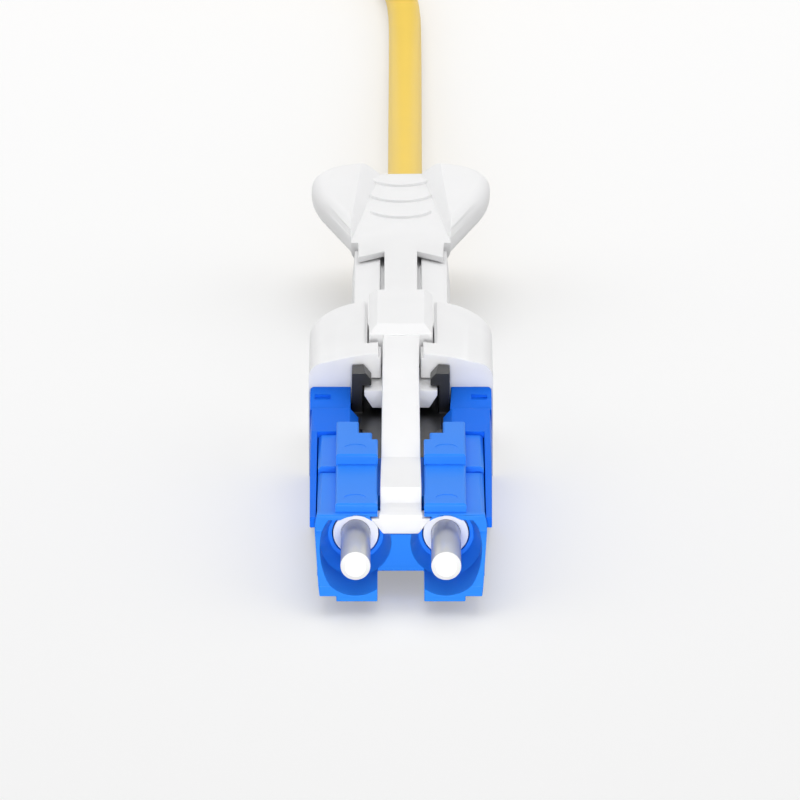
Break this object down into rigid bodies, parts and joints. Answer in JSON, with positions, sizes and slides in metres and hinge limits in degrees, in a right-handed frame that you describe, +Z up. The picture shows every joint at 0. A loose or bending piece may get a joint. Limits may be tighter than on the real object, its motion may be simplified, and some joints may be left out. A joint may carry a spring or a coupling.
{
  "type": "duplex fibre patch cord",
  "caption": "Duplex single-mode fibre patch cord: a small push-pull plug with sprung ceramic ferrules and a sliding pull tab on each end of a yellow cord wound in a hank.",
  "frame": {"origin": "under the middle of the pictured plug, on the surface that it lies on", "axes": "+Y from the ferrule tips back along the plug to the cord, +X across the ferrules, +Z up"},
  "size_m": [0.0152, 0.1878, 0.012],
  "materials": {
    "blue_moulding": "satin moulded",
    "white_moulding": "satin moulded",
    "black_moulding": "satin moulded",
    "ceramic": "polished zirconia ceramic",
    "flange_moulding": "moulded",
    "spring_steel": "drawn wire",
    "crimp_metal": "plated",
    "fibre_buffer": "extruded",
    "cord_jacket": "extruded, satin",
    "tie_band": "woven hook-and-loop"
  },
  "bodies": {
    "cord_and_housings": {"front_body": "blue_moulding", "outer_housing": "blue_moulding", "ferrule_spring_left": "spring_steel", "ferrule_spring_right": "spring_steel", "back_body": "black_moulding", "crimp_sleeve": "crimp_metal", "rear_housing": "white_moulding", "strain_boot": "white_moulding", "fibre_left": "fibre_buffer", "fibre_right": "fibre_buffer", "far_front_body": "blue_moulding", "far_outer_housing": "blue_moulding", "far_ferrule_spring_left": "spring_steel", "far_ferrule_spring_right": "spring_steel", "far_back_body": "black_moulding", "far_crimp_sleeve": "crimp_metal", "far_rear_housing": "white_moulding", "far_strain_boot": "white_moulding", "far_fibre_left": "fibre_buffer", "far_fibre_right": "fibre_buffer", "cord_run_near": "cord_jacket", "cord_hank": "cord_jacket", "cord_run_far": "cord_jacket", "hank_tie": "tie_band"},
    "pull_tab": {"pull_tab": "white_moulding"},
    "ferrule_left": {"ferrule_left": "ceramic", "ferrule_flange_left": "flange_moulding"},
    "ferrule_right": {"ferrule_right": "ceramic", "ferrule_flange_right": "flange_moulding"},
    "far_pull_tab": {"far_pull_tab": "white_moulding"},
    "far_ferrule_left": {"far_ferrule_left": "ceramic", "far_ferrule_flange_left": "flange_moulding"},
    "far_ferrule_right": {"far_ferrule_right": "ceramic", "far_ferrule_flange_right": "flange_moulding"}
  },
  "joints": [
    {"name": "pull_tab_slide", "type": "slide", "parent": "cord_and_housings", "child": "pull_tab", "axis": [0, 1, 0], "range_m": [0, 0.0015]},
    {"name": "ferrule_left_travel", "type": "slide", "parent": "cord_and_housings", "child": "ferrule_left", "axis": [0, 1, 0], "range_m": [0, 0.0006], "stiffness_N_per_m": 1500, "springref_m": -0.003, "deforming": ["ferrule_spring_left"]},
    {"name": "ferrule_right_travel", "type": "slide", "parent": "cord_and_housings", "child": "ferrule_right", "axis": [0, 1, 0], "range_m": [0, 0.0006], "stiffness_N_per_m": 1500, "springref_m": -0.003, "deforming": ["ferrule_spring_right"]},
    {"name": "far_pull_tab_slide", "type": "slide", "parent": "cord_and_housings", "child": "far_pull_tab", "axis": [0, -1, 0], "range_m": [0, 0.0015]},
    {"name": "far_ferrule_left_travel", "type": "slide", "parent": "cord_and_housings", "child": "far_ferrule_left", "axis": [0, -1, 0], "range_m": [0, 0.0006], "stiffness_N_per_m": 1500, "springref_m": -0.003, "deforming": ["far_ferrule_spring_left"]},
    {"name": "far_ferrule_right_travel", "type": "slide", "parent": "cord_and_housings", "child": "far_ferrule_right", "axis": [0, -1, 0], "range_m": [0, 0.0006], "stiffness_N_per_m": 1500, "springref_m": -0.003, "deforming": ["far_ferrule_spring_right"]}
  ]
}
